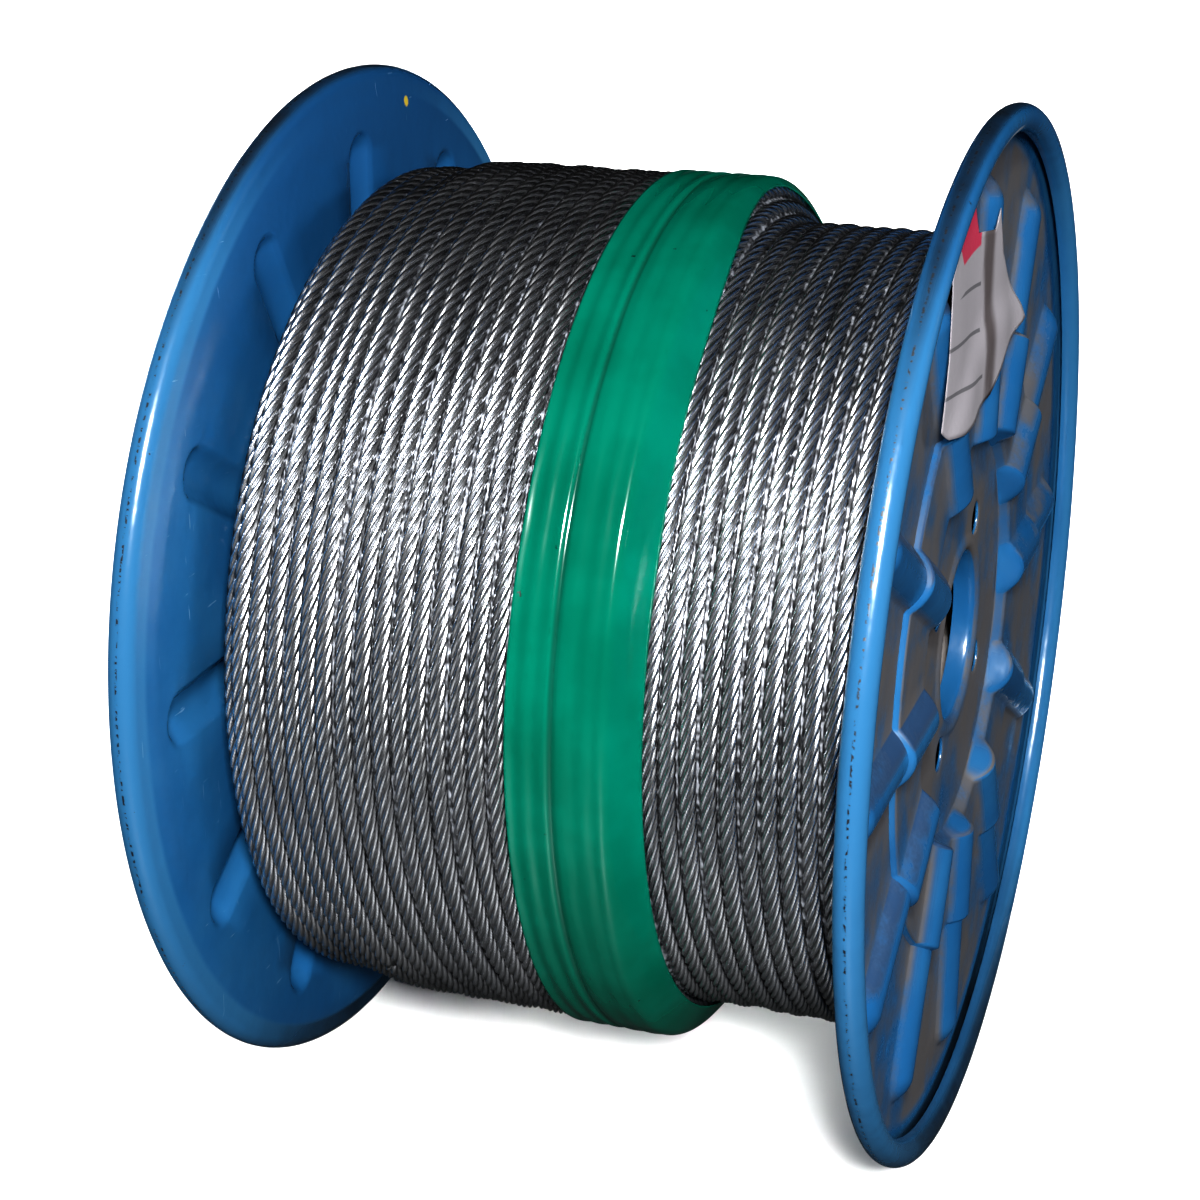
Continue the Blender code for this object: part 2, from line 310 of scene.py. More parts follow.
def flange_columns(radii):
    """Each column's angle at each radius: the columns run along the ribs, and spread evenly at the rim."""
    across = RIB_HALF_WIDTH * np.arange(FLANK_COLUMNS + 1) / FLANK_COLUMNS
    half_count = FLANK_COLUMNS + WEB_COLUMNS
    half_sector = math.pi / RIB_COUNT
    on_rib = np.arcsin(across[None, :] / np.maximum(radii, HUB_DISC_RADIUS)[:, None])
    foot = on_rib[:, -1:]
    on_web = foot + (half_sector - foot) * np.arange(1, WEB_COLUMNS + 1) / WEB_COLUMNS
    along_rib = np.hstack([on_rib, on_web])
    even = half_sector * np.arange(half_count + 1) / half_count
    to_even = eased(radii, RIB_OUTER_RADIUS, WEB_RADIUS)[:, None]
    half = along_rib + (even[None, :] - along_rib) * to_even
    sector = np.hstack([-half[:, :0:-1], half[:, :-1]])
    return np.hstack([sector + math.tau * i / RIB_COUNT for i in range(RIB_COUNT)])


def rib_rise(radii, angles):
    """How far the ribs raise the sheet: each is round across and at its outer end."""
    spacing = math.tau / RIB_COUNT
    from_rib = angles - spacing * np.round(angles / spacing)
    across = radii * np.sin(from_rib)
    past_end = np.maximum(radii * np.cos(from_rib) - (RIB_OUTER_RADIUS - RIB_HALF_WIDTH), 0.0)
    away = np.hypot(across, past_end)
    start = eased(radii, HUB_DISC_RADIUS, RECESS_RADIUS, 0.2)
    return RIB_HEIGHT * start * (1 - eased(away, 0.0, RIB_HALF_WIDTH, RIB_ROUNDING, RIB_FOOT))


def drive_hole_cutter():
    """Four pins that leave holes with rounded edges in the hub disc."""
    length = 6 * SHEET
    reach = SHEET / 2
    heights = np.array([-length, -reach, -0.6 * reach, 0.0, 0.6 * reach, reach, length])
    share = np.clip(np.abs(heights) / reach, 0.0, 1.0)
    radii = DRIVE_HOLE_RADIUS + DRIVE_HOLE_ROUNDING * (1 - np.sqrt(1 - share**2))
    turn = math.tau * np.arange(DRIVE_HOLE_SIDES) / DRIVE_HOLE_SIDES
    meshes = []
    for i in range(DRIVE_HOLE_COUNT):
        angle = math.radians(DRIVE_HOLE_ANGLE) + math.tau * i / DRIVE_HOLE_COUNT
        centre = (-DRIVE_HOLE_PITCH_RADIUS * math.sin(angle), DRIVE_HOLE_PITCH_RADIUS * math.cos(angle))
        x = centre[0] + radii[:, None] * np.cos(turn)
        y = centre[1] + radii[:, None] * np.sin(turn)
        z = np.broadcast_to(HUB_DISC_FACE - reach + heights[:, None], x.shape)
        meshes.append(np.stack([x, y, z], axis=-1))
    rows = len(heights)
    verts, faces = [], []
    for pin in meshes:
        base = len(verts)
        verts.extend(pin.reshape(-1, 3).tolist())
        for i in range(rows - 1):
            for k in range(DRIVE_HOLE_SIDES):
                after = (k + 1) % DRIVE_HOLE_SIDES
                corners = (i, k), (i, after), (i + 1, after), (i + 1, k)
                faces.append([base + row * DRIVE_HOLE_SIDES + column for row, column in corners])
        faces.append([base + k for k in range(DRIVE_HOLE_SIDES)][::-1])
        faces.append([base + (rows - 1) * DRIVE_HOLE_SIDES + k for k in range(DRIVE_HOLE_SIDES)])
    mesh = bpy.data.meshes.new("drive_hole_cutter")
    mesh.from_pydata(verts, [], faces)
    return new_piece("drive_hole_cutter", mesh)


def pressed_sheet():
    """The flange's mesh, facing +Z, with its thickness and holes."""
    profile = flange_profile()
    angles = flange_columns(profile[:, 0])
    radii = np.broadcast_to(profile[:, :1], angles.shape)
    heights = profile[:, 1:] + rib_rise(radii, angles)
    points = np.stack([radii * np.cos(angles), radii * np.sin(angles), heights], axis=-1)
    blank = new_piece("flange_blank", grid_mesh("flange_blank", points[::-1]))
    skin = blank.modifiers.new("Sheet thickness", "SOLIDIFY")
    skin.thickness = SHEET
    skin.offset = 0.0
    skin.use_even_offset = True
    skin.material_offset_rim = 1
    cutter = drive_hole_cutter()
    drill = blank.modifiers.new("Drive holes", "BOOLEAN")
    drill.operation = "DIFFERENCE"
    drill.solver = "EXACT"
    drill.object = cutter
    sheet = evaluated_mesh(blank)
    bpy.data.objects.remove(blank)
    bpy.data.objects.remove(cutter)
    sheet.shade_smooth()
    sheet.set_sharp_from_angle(angle=math.radians(50.0))
    return sheet


enamel, shader, place = new_finish("blue_enamel")
geometry = enamel.node_tree.nodes.new("ShaderNodeNewGeometry")
normal = Wire(geometry.outputs["Normal"])
along_axis = place.axis(0).maths("ABSOLUTE")
outward = normal.axis(0) * place.axis(0).maths("SIGN")
side, height = place.axis(1), place.axis(2)
radius = (side * side + height * height) ** 0.5
cloud = place.noise(28.0, 4.0)
grit = place.noise(900.0, 3.0)
blotches = cloud * 0.6 + place.noise(75.0, 3.0) * 0.4 + grit * 0.12 - 0.06

# Dust lies on the flat web, in the feet of the ribs and on the flanks that face up.
web_face = OUTER_RING_FACE + (INNER_RING_FACE - OUTER_RING_FACE) * radius.slope(*STEP_DUST_RADII)
on_web = (along_axis - web_face).slope(*WEB_DUST_DEPTH) * radius.slope(*WEB_DUST_RADII)
on_web = on_web * outward.slope(0.55, 0.75)
on_flats = on_web * blotches.slope(0.30, 0.56)
facing_up = normal.axis(2)
on_ribs = facing_up.slope(0.25, 0.55) * outward.slope(0.3, 0.6) * radius.slope(*RIB_DUST_RADII)
on_ribs = on_ribs * blotches.slope(0.36, 0.52)
dust = on_flats.maths("MAXIMUM", on_ribs)
# Painted shadow: on the near side, the up-facing rib flanks are painted dark navy in place of dust.
near_side_shade = on_ribs * side.slope(*SHADE_SIDE)
rim = radius.slope(*RIM_RADII)
# The rim's top and its underside are darkened: partly blotchy dirt, partly painted shade.
rim_dirt_and_shade = facing_up.slope(0.55, 0.95).maths("MAXIMUM", height.slope(*RIM_FOOT_HEIGHTS)) * rim

streaks = place.noise(34.0, 2.0, (1.0, 3.0, 26.0)).slope(0.715, 0.75)
cross_streaks = place.noise(30.0, 2.0, (1.0, 24.0, 2.5)).slope(0.725, 0.755)
inside_face = outward.slope(-0.5, -0.8)
scratches = streaks.maths("MAXIMUM", cross_streaks) * inside_face * cloud.slope(0.42, 0.6) * 0.3

# The rim has dark dashes where it rolls, and a thin pale line is painted along its inner lip near the top.
from_crest = (along_axis - (RIM_FACE - RIM_CURL_RADIUS)).maths("ABSOLUTE")
chips = from_crest.slope(*ROLLING_LINE) * radius.slope(*CREST_RADII)
chips = chips * place.noise(800.0, 2.0).slope(0.52, 0.58)
bead_nicks = rim * place.noise(260.0, 4.0).slope(0.74, 0.75)
chips = chips.maths("MAXIMUM", bead_nicks)
from_lip = (radius - LIP_RADIUS).maths("ABSOLUTE")
pale_lip_line = from_lip.slope(*LIP_LINE) * along_axis.slope(*LIP_FACE)
pale_lip_line = pale_lip_line * height.slope(*LIP_HEIGHTS) * side.slope(*LIP_SIDE)
speck = place.node("ShaderNodeVectorMath", {"operation": "DISTANCE"}, {0: place, 1: SPECK_PLACE}, "Value")
speck = (speck + grit * 0.0012).slope(*SPECK_SIZE)

colour = cloud.slope(0.35, 0.7).tint(ENAMEL, ENAMEL_WORN)
# Painted shade: the flanges' inner faces turn darker towards their top.
colour = (inside_face * height.slope(*SHADED_FACE_HEIGHTS)).tint(colour, ENAMEL_PAINTED_SHADE)
# Painted light: the rim's bead is lighter blue everywhere below its top.
colour = (rim * height.slope(*RIM_PAINTED_LIGHT_HEIGHTS)).tint(colour, ENAMEL_RIM_PAINTED_LIGHT)
colour = scratches.tint(colour, SCRATCH)
colour = dust.tint(colour, cloud.slope(0.4, 0.65).tint(DUST, DUST_BROWN))
colour = near_side_shade.tint(colour, NEAR_SIDE_SHADE_COLOUR)
colour = (rim_dirt_and_shade * (0.45 + 0.9 * blotches)).tint(colour, RIM_DIRT_AND_SHADE)
colour = (pale_lip_line * 0.8).tint(colour, CUT_EDGE)
colour = chips.tint(colour, CHIP)
colour = speck.tint(colour, YELLOW_PAINT)
colour.feed(shader, "Base Color")
roughness = 0.17 + 0.08 * cloud + 0.45 * dust + 0.1 * rim_dirt_and_shade + 0.3 * chips + 0.2 * scratches
roughness.feed(shader, "Roughness")
(place.noise(120.0, 2.0) + grit * 0.15 * dust).bump(0.00025).feed(shader, "Normal")
shader.inputs["Specular IOR Level"].default_value = 0.35

cut_edge, shader, place = new_finish("cut_sheet_edge")
worn = place.noise(160.0, 3.0).slope(0.35, 0.6)
worn.tint(ENAMEL_WORN, CUT_EDGE).feed(shader, "Base Color")
(0.5 - 0.15 * worn).feed(shader, "Roughness")
(0.4 * worn).feed(shader, "Metallic")

sheet = pressed_sheet()
for name, facing in (("left_flange", -1), ("right_flange", 1)):
    flange = new_piece(name + "_sheet", sheet.copy(), enamel, cut_edge)
    flange.rotation_euler = (0.0, facing * math.pi / 2, 0.0)
    bpy.context.view_layer.update()
    flange.data.transform(flange.matrix_world)
    flange.rotation_euler = (0.0, 0.0, 0.0)
    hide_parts(name)
    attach(flange, "root")

# Rope
# Galvanised rope of six strands, laid right-handed over a core and wound on the barrel in tight
# layers. The outer turns are real twisted rope, and the layers under them are one dark ring.
CLEARANCE = 0.0003
ROPE_DIAMETER = 0.00486
TURN_PITCH = 0.00510
STRANDS = 6
LAY_LENGTH = 0.0287
RING_STEP = 0.00262
STRAND_POINT_ANGLES = (-63.0, -21.0, 21.0, 63.0)
VALLEY_RADIUS = 0.332 * ROPE_DIAMETER
FULL_RADIUS = 0.1206
LAYER_RISE = 0.00535
LAYERS_DOWN = 2
SHOULDER_DROP = 0.0250
SHOULDER_WIDTH = 0.0115
LEFT_DIP = 0.0030
LEFT_DIP_START = -0.0500
LEFT_DIP_END = -0.0660
STEP_DOWN_START = 0.0239
STEP_DOWN_END = 0.0363
TAPE_LEFT = 0.0007
TAPE_RIGHT = 0.0331
TORN_BACK = 0.0050
COVER_MARGIN = 0.0008
CORE_DEPTH = 0.0030
CORE_BORE = RECESS_RADIUS + SHEET + 2 * CLEARANCE + 0.0015
CORE_WALL = 0.0020
CORE_ROWS = 60
CORE_SIDES = 120
WIRES_ROUND_ROPE = 46
TOWARD_BOTTOM_HEIGHTS = (-0.040, -0.100)

# How the rope strays from an even winding: by how much, the longest wave and the number of waves.
LONG_WANDER = (0.00016, 9.0)
SHORT_WANDER = (0.00008, 1.6)
SINKING = (0.00046, 13.0, 12)
RIPPLE = (0.00005, 1.1)
LAY_WANDER = (0.12, 6.0)

# A turn rises no higher than this, and the flanges and the tape hold it over these distances.
HIGHEST_TURN = 0.00012
FLANGE_GRIP = (0.002, 0.012)
TAPE_GRIP = 0.004

ZINC = (0.74, 0.76, 0.80, 1.0)
ZINC_DULL = (0.44, 0.46, 0.50, 1.0)
ROPE_GRIME_AND_SHADE = (0.135, 0.140, 0.148, 1.0)
CORE_GREY = (0.010, 0.011, 0.013, 1.0)

rng = np.random.default_rng(6)
winding_half = OUTER_RING_FACE - SHEET - CLEARANCE


def rope_radius(x):
    """The radius of the top of the turns: sunk at the left end, full up to the tape, then lower."""
    drop = eased(x, STEP_DOWN_START, STEP_DOWN_END, 0.5) * LAYER_RISE * LAYERS_DOWN
    shoulder = np.maximum(1.0 - (x + winding_half) / SHOULDER_WIDTH, 0.0) ** 1.5
    dip = LEFT_DIP * eased(x, LEFT_DIP_START, LEFT_DIP_END, 0.5)
    return FULL_RADIUS - drop - dip - SHOULDER_DROP * shoulder


def centre_line():
    """The curve that the turns' middles lie on, as x, radius and distance along it."""
    x = np.linspace(-winding_half, winding_half, 4000)
    radius = rope_radius(x)
    slope = np.gradient(radius, x)
    length = np.hypot(1.0, slope)
    inside_x = x + ROPE_DIAMETER / 2 * slope / length
    inside_radius = radius - ROPE_DIAMETER / 2 / length
    fits = np.abs(inside_x) <= winding_half - ROPE_DIAMETER / 2
    inside_x, inside_radius = inside_x[fits], inside_radius[fits]
    along = np.concatenate([[0.0], np.cumsum(np.hypot(np.diff(inside_x), np.diff(inside_radius)))])
    return inside_x, inside_radius, along


def waves(turn_angle, size, longest, count=7):
    """A smooth random wander along the rope, of about this size and with waves up to this many radians."""
    total = np.zeros_like(turn_angle)
    for _ in range(count):
        length = longest * rng.uniform(0.25, 1.0)
        total += rng.normal() * np.sin(turn_angle / length * math.tau + rng.uniform(0, math.tau))
    return total * size / math.sqrt(count)


def section():
    """One ring of the rope's outline as (angle, radius), starting in a valley between two strands."""
    centre, strand = ROPE_DIAMETER / 3, ROPE_DIAMETER / 6
    half = math.pi / STRANDS
    outline = []
    for i in range(STRANDS):
        middle = math.tau * i / STRANDS
        outline.append((middle - half, VALLEY_RADIUS))
        for degrees in STRAND_POINT_ANGLES:
            out = centre + strand * math.cos(math.radians(degrees))
            over = strand * math.sin(math.radians(degrees))
            outline.append((middle + math.atan2(over, out), math.hypot(out, over)))
    return np.array(outline)


outline = section()
line_x, line_radius, line_along = centre_line()
turn_count = line_along[-1] / TURN_PITCH
ring_angle = RING_STEP / (FULL_RADIUS - ROPE_DIAMETER / 2)
turn_angle = np.arange(0.0, turn_count * math.tau, ring_angle)
travel = turn_angle / math.tau * TURN_PITCH
wander = waves(turn_angle, *LONG_WANDER) + waves(turn_angle, *SHORT_WANDER)
near_flange = np.minimum(travel, line_along[-1] - travel)
wander *= eased(near_flange, *FLANGE_GRIP)
travel = np.clip(travel + wander, 0.0, line_along[-1])
turn_x = np.interp(travel, line_along, line_x)
turn_radius = np.interp(travel, line_along, line_radius)
past_left = eased(turn_x, TAPE_LEFT - TAPE_GRIP, TAPE_LEFT)
under_tape = past_left * (1 - eased(turn_x, TAPE_RIGHT, TAPE_RIGHT + TAPE_GRIP))
sinking = np.maximum(waves(turn_angle, *SINKING), -HIGHEST_TURN) + waves(turn_angle, *RIPPLE)
turn_radius = turn_radius - sinking * (1 - under_tape)
path = np.stack([turn_x, turn_radius * np.cos(turn_angle), turn_radius * np.sin(turn_angle)], axis=1)
tangent = np.gradient(path, axis=0)
tangent /= np.linalg.norm(tangent, axis=1, keepdims=True)
outwards = np.stack([np.zeros_like(turn_angle), np.cos(turn_angle), np.sin(turn_angle)], axis=1)
outwards -= tangent * np.sum(outwards * tangent, axis=1, keepdims=True)
outwards /= np.linalg.norm(outwards, axis=1, keepdims=True)
sideways = np.cross(tangent, outwards)
distance = np.concatenate([[0.0], np.cumsum(np.linalg.norm(np.diff(path, axis=0), axis=1))])
twist = math.tau * distance / LAY_LENGTH + waves(turn_angle, *LAY_WANDER)


def rope_piece(name, first, last):
    """The rope from one ring to another, with its ends closed."""
    angles = outline[None, :, 0] + twist[first:last, None]
    radii = np.broadcast_to(outline[None, :, 1], angles.shape)
    points = (
        path[first:last, None]
        + (radii * np.cos(angles))[..., None] * outwards[first:last, None]
        + (radii * np.sin(angles))[..., None] * sideways[first:last, None]
    )
    mesh = grid_mesh(name, points, has_caps=True)
    rows, columns = angles.shape
    per_strand = columns // STRANDS
    edges = np.empty(len(mesh.edges) * 2, np.int32)
    mesh.edges.foreach_get("vertices", edges)
    start, end = edges.reshape(-1, 2).T
    in_valley = (start % columns == end % columns) & (start % columns % per_strand == 0)
    mesh.attributes.new("sharp_edge", "BOOLEAN", "EDGE").data.foreach_set("value", in_valley)
    corner_columns = np.tile(np.arange(columns)[:, None] + np.array([0, 1, 1, 0]), (rows - 1, 1))
    corner_rows = np.repeat(np.arange(rows - 1), columns)[:, None] + np.array([0, 0, 1, 1])
    round_rope = corner_columns / columns + twist[first:last][corner_rows] / math.tau
    strand = corner_columns / per_strand
    on_sides = np.stack([round_rope, strand], axis=-1).reshape(-1, 2)
    on_caps = np.zeros((2 * columns, 2))
    layer = mesh.uv_layers.new(name="strand_map")
    layer.data.foreach_set("uv", np.vstack([on_sides, on_caps]).ravel().astype(np.float32))
    return mesh


zinc, shader, place = new_finish("galvanised_wire")
strand_map = place.node("ShaderNodeUVMap", {"uv_map": "strand_map"}, {})
round_rope, strand = strand_map.axis(0), strand_map.axis(1)
wires = (round_rope * (math.tau * WIRES_ROUND_ROPE)).maths("SINE") * 0.5 + 0.5
valley = (strand * math.tau).maths("COSINE") * 0.5 + 0.5
patches = place.noise(45.0, 3.0)
fine = place.noise(1500.0, 2.0)
# Painted shade: each turn's sides, down into the crevices between turns, are near-black, and the valleys
# between strands are darker. The random patches are dirt.
crevice_shade = (round_rope * math.tau).maths("COSINE").slope(0.45, 0.05)
# The rope is darker, duller and less metallic towards the bottom.
toward_bottom = place.axis(2).slope(*TOWARD_BOTTOM_HEIGHTS) * 0.8
grime_and_shade = (valley * 0.9 + patches * 0.5 - 0.35).slope(0.30, 0.85).maths("MAXIMUM", crevice_shade)
grime_and_shade = grime_and_shade.maths("MAXIMUM", toward_bottom)
colour = (patches * 0.6 + fine * 0.4).slope(0.35, 0.65).tint(ZINC_DULL, ZINC)
colour = grime_and_shade.tint(colour, ROPE_GRIME_AND_SHADE)
colour = (toward_bottom * 0.7).tint(colour, CORE_GREY)
crevice_shade.tint(colour, CORE_GREY).feed(shader, "Base Color")
(0.135 + 0.08 * patches + 0.08 * grime_and_shade + 0.20 * toward_bottom).feed(shader, "Roughness")
(1.0 - 0.15 * grime_and_shade - 0.20 * toward_bottom).feed(shader, "Metallic")
(wires * 0.7 + fine * 0.3).bump(0.00003).feed(shader, "Normal")
shader.inputs["Coat Weight"].default_value = 1.0
shader.inputs["Coat Roughness"].default_value = 0.36

core_finish, shader, place = new_finish("rope_in_shadow")
lower_turns = place.noise(500.0)
lower_turns.slope(0.35, 0.75).tint(CORE_GREY, ZINC_DULL).feed(shader, "Base Color")
shader.inputs["Roughness"].default_value = 0.5
shader.inputs["Metallic"].default_value = 0.6

core_x = np.linspace(-winding_half, winding_half, CORE_ROWS)
core_radius = np.maximum(rope_radius(core_x) - CORE_DEPTH, CORE_BORE + CORE_WALL)
core_outline = np.vstack([
    np.stack([core_x, core_radius], axis=1),
    [(winding_half, CORE_BORE), (-winding_half, CORE_BORE)],
])
round_core = math.tau * np.arange(CORE_SIDES) / CORE_SIDES
core_points = np.stack([
    np.broadcast_to(core_outline[:, :1], (len(core_outline), CORE_SIDES)),
    core_outline[:, 1:] * np.cos(round_core),
    core_outline[:, 1:] * np.sin(round_core),
], axis=-1)
core = new_piece("rope_inner_layers", grid_mesh("rope_inner_layers", core_points, True), core_finish)
core.data.set_sharp_from_angle(angle=math.radians(50.0))
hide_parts("rope_winding")
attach(core, "root")

tape_cover = ROPE_DIAMETER + COVER_MARGIN
left_end = int(np.argmax(turn_x > TAPE_LEFT + tape_cover))
right_start = int(np.argmax(turn_x > TAPE_RIGHT - TORN_BACK - tape_cover))
left_middle = left_end // 2
right_middle = (right_start + len(turn_angle)) // 2
stretches = (
    ("rope_turns_left", 0, left_middle),
    ("rope_turns_middle", left_middle - 1, left_end),
    ("rope_turns_right", right_start, right_middle),
    ("rope_turns_far_right", right_middle - 1, len(turn_angle)),
)
for name, first, last in stretches:
    rope = new_piece(name, rope_piece(name, first, last), zinc)
    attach(rope, "root")

# Tape
# A band of green plastic tape, pulled tight over the middle turns to hold the rope's end. It shows
# the turns under it as ridges, has a long crease and draws back at its right edge near the top.
TAPE_THICKNESS = 0.0003
TAPE_COLUMNS = 300
TAPE_ROWS = 66
RIDGE_DEPTH = 0.00050
CREASE_PLACE = 0.0123
CREASE_DEPTH = 0.00070
CREASE_WIDTH = 0.0008
CREASE_FADE = 0.004
CREASE_SHADE_WIDTH = (0.0010, 0.0002)
EDGE_WANDER = 0.00012
TORN_PLACE = math.radians(82.0)
TORN_SPREAD = math.radians(26.0)

TAPE_GREEN = (0.000, 0.178, 0.118, 1.0)
TAPE_DEEP = (0.000, 0.140, 0.090, 1.0)
TAPE_DIRT_AND_SHADE = (0.010, 0.040, 0.030, 1.0)

tape_round = math.tau * np.arange(TAPE_COLUMNS) / TAPE_COLUMNS
tape_across = np.linspace(0.0, 1.0, TAPE_ROWS)


def round_waves(highest, size):
    """A smooth random wander round the reel that joins up with itself."""
    total = np.zeros(TAPE_COLUMNS)
    for number in range(1, highest + 1):
        total += rng.normal() * np.sin(number * tape_round + rng.uniform(0, math.tau)) / number**0.5
    return total * size


edge_left = TAPE_LEFT + round_waves(6, EDGE_WANDER)
edge_right = TAPE_RIGHT + round_waves(6, EDGE_WANDER)
edge_right -= TORN_BACK * np.exp(-(((tape_round - TORN_PLACE) / TORN_SPREAD) ** 2))
tape_x = edge_left[None, :] + (edge_right - edge_left)[None, :] * tape_across[:, None]
ridge_phase = (tape_x - TAPE_LEFT) / TURN_PITCH * math.tau + round_waves(4, 0.25)[None, :]
ridge_size = 0.75 + 0.25 * np.sin(tape_x * 260.0 + round_waves(3, 0.6)[None, :])
ridge_size *= 1.0 - 0.35 * eased(tape_x, CREASE_PLACE, CREASE_PLACE + CREASE_FADE)
ridges = -RIDGE_DEPTH * ridge_size * (0.5 - 0.5 * np.cos(ridge_phase))
crease_line = CREASE_PLACE + round_waves(3, 0.0002)
crease = -CREASE_DEPTH * np.exp(-(((tape_x - crease_line[None, :]) / CREASE_WIDTH) ** 2))
tape_radius = rope_radius(tape_x) + CLEARANCE + TAPE_THICKNESS + RIDGE_DEPTH * 0.5 + ridges + crease
tape_points = np.stack([
    tape_x,
    tape_radius * np.cos(tape_round),
    tape_radius * np.sin(tape_round),
], axis=-1)

tape_finish, shader, place = new_finish("green_plastic_tape")
cloud = place.noise(40.0, 3.0)
nicks = place.noise(260.0, 4.0).slope(0.735, 0.75)
# Painted shade darkens the bottom of the crease. The small nicks are dirt.
from_crease = (place.axis(0) - CREASE_PLACE + cloud * 0.0004 - 0.0002).maths("ABSOLUTE")
crease_shade = from_crease.slope(*CREASE_SHADE_WIDTH) * 0.5
colour = cloud.slope(0.3, 0.7).tint(TAPE_DEEP, TAPE_GREEN)
nicks.maths("MAXIMUM", crease_shade).tint(colour, TAPE_DIRT_AND_SHADE).feed(shader, "Base Color")
(0.09 + 0.06 * cloud + 0.1 * nicks).feed(shader, "Roughness")
place.noise(55.0, 1.0, (5.0, 1.0, 1.0)).bump(0.00025).feed(shader, "Normal")

tape = new_piece("tape_wrap", grid_mesh("tape_wrap", tape_points), tape_finish)
skin = tape.modifiers.new("Tape thickness", "SOLIDIFY")
skin.thickness = TAPE_THICKNESS
skin.offset = -1.0
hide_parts("tape_band")
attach(tape, "root")

# Label
# A paper label stuck on the ribs of the right flange, creased, dirty and curling off at its right
# corner. It carries a red patch and plain ruled lines.
LABEL_THICKNESS = 0.0002
LABEL_COLUMNS = 60
LABEL_ROWS = 36
LABEL_SAG = 0.0013
LABEL_SETTLE_RUN = 0.0150
CURL_LIFT = 0.0008
CURL_START = 0.005
CURL_RUN = 0.026
STREAK_SIDE = -0.0090
STREAK_WIDTH = (0.0110, 0.0005)
PATCH_SIDE = (-0.0242, -0.0248)
PATCH_FOOT = (0.1152, 0.1158)
PATCH_TIP = (0.0748, 0.0756)
PATCH_SLANT = 0.85
LINE_SLANT = 0.12
LINES_A_METRE = 83.0
LINES_TOP = (0.1085, 0.1080)
LINES_LEFT = (-0.0640, -0.0630)
LINES_RIGHT = (-0.0215, -0.0225)

# The outline of the paper in shares of the flange's radius: its edges as (across, up) points.
FOOT_LEFT, FOOT_RIGHT = (-0.440, 0.536), (0.190, 0.582)
TOP_LEFT, TOP_RIGHT = (-0.440, 0.799), (-0.036, 0.834)
ALONG_FOOT = ((-0.405, 0.514), (-0.320, 0.500), (-0.240, 0.496), (-0.080, 0.504), (0.023, 0.552))
BOTTOM_EDGE = (FOOT_LEFT, *ALONG_FOOT, FOOT_RIGHT)
RIGHT_EDGE = (FOOT_RIGHT, (0.148, 0.628), (0.088, 0.682), (0.012, 0.742), TOP_RIGHT)
TOP_EDGE = (TOP_LEFT, (-0.350, 0.862), (-0.236, 0.887), (-0.190, 0.822), (-0.068, 0.802), TOP_RIGHT)
LEFT_EDGE = (FOOT_LEFT, (-0.432, 0.658), (-0.436, 0.774), TOP_LEFT)

PAPER = (0.305, 0.288, 0.312, 1.0)
PAPER_DIRT = (0.070, 0.055, 0.058, 1.0)
RED_PATCH = (0.560, 0.050, 0.110, 1.0)
RULED_LINE = (0.060, 0.060, 0.070, 1.0)


def edge_curve(corners, shares):
    """Points on an edge of the paper, spaced by their distance along it."""
    corners = np.array(corners)
    along = np.concatenate([[0.0], np.cumsum(np.linalg.norm(np.diff(corners, axis=0), axis=1))])
    return np.stack([np.interp(shares * along[-1], along, corners[:, i]) for i in (0, 1)], axis=-1)


across = np.linspace(0.0, 1.0, LABEL_COLUMNS)
up = np.linspace(0.0, 1.0, LABEL_ROWS)
bottom, top = edge_curve(BOTTOM_EDGE, across), edge_curve(TOP_EDGE, across)
left, right = edge_curve(LEFT_EDGE, up), edge_curve(RIGHT_EDGE, up)
u, v = across[None, :, None], up[:, None, None]
corners = (1 - u) * (1 - v) * bottom[0] + u * (1 - v) * bottom[-1] + (1 - u) * v * top[0] + u * v * top[-1]
label_plan = (1 - v) * bottom[None] + v * top[None] + (1 - u) * left[:, None] + u * right[:, None] - corners
label_y, label_z = label_plan[..., 0] * FLANGE_RADIUS, label_plan[..., 1] * FLANGE_RADIUS
label_reach = np.hypot(label_y, label_z)
settled = eased(label_reach, STEP_RADIUS + STEP_RUN, STEP_RADIUS + LABEL_SETTLE_RUN, 0.5)
crests = INNER_RING_FACE + (OUTER_RING_FACE - INNER_RING_FACE) * settled + RIB_HEIGHT
between_ribs = np.sin(np.arctan2(label_y, label_z) * RIB_COUNT / 2) ** 2
curl = np.maximum((label_y - CURL_START) / CURL_RUN, 0.0) ** 2
label_x = crests + CLEARANCE - LABEL_SAG * between_ribs * np.maximum(1 - curl * 2, 0.0) + CURL_LIFT * curl
label_points = np.stack([label_x, label_y, label_z], axis=-1)

number = np.arange(LABEL_ROWS * LABEL_COLUMNS).reshape(LABEL_ROWS, LABEL_COLUMNS)
quads = np.stack([number[:-1, :-1], number[:-1, 1:], number[1:, 1:], number[1:, :-1]], axis=-1)
label_mesh = bpy.data.meshes.new("label_sheet")
label_mesh.from_pydata(label_points.reshape(-1, 3).tolist(), [], quads.reshape(-1, 4).tolist())
label_mesh.shade_smooth()

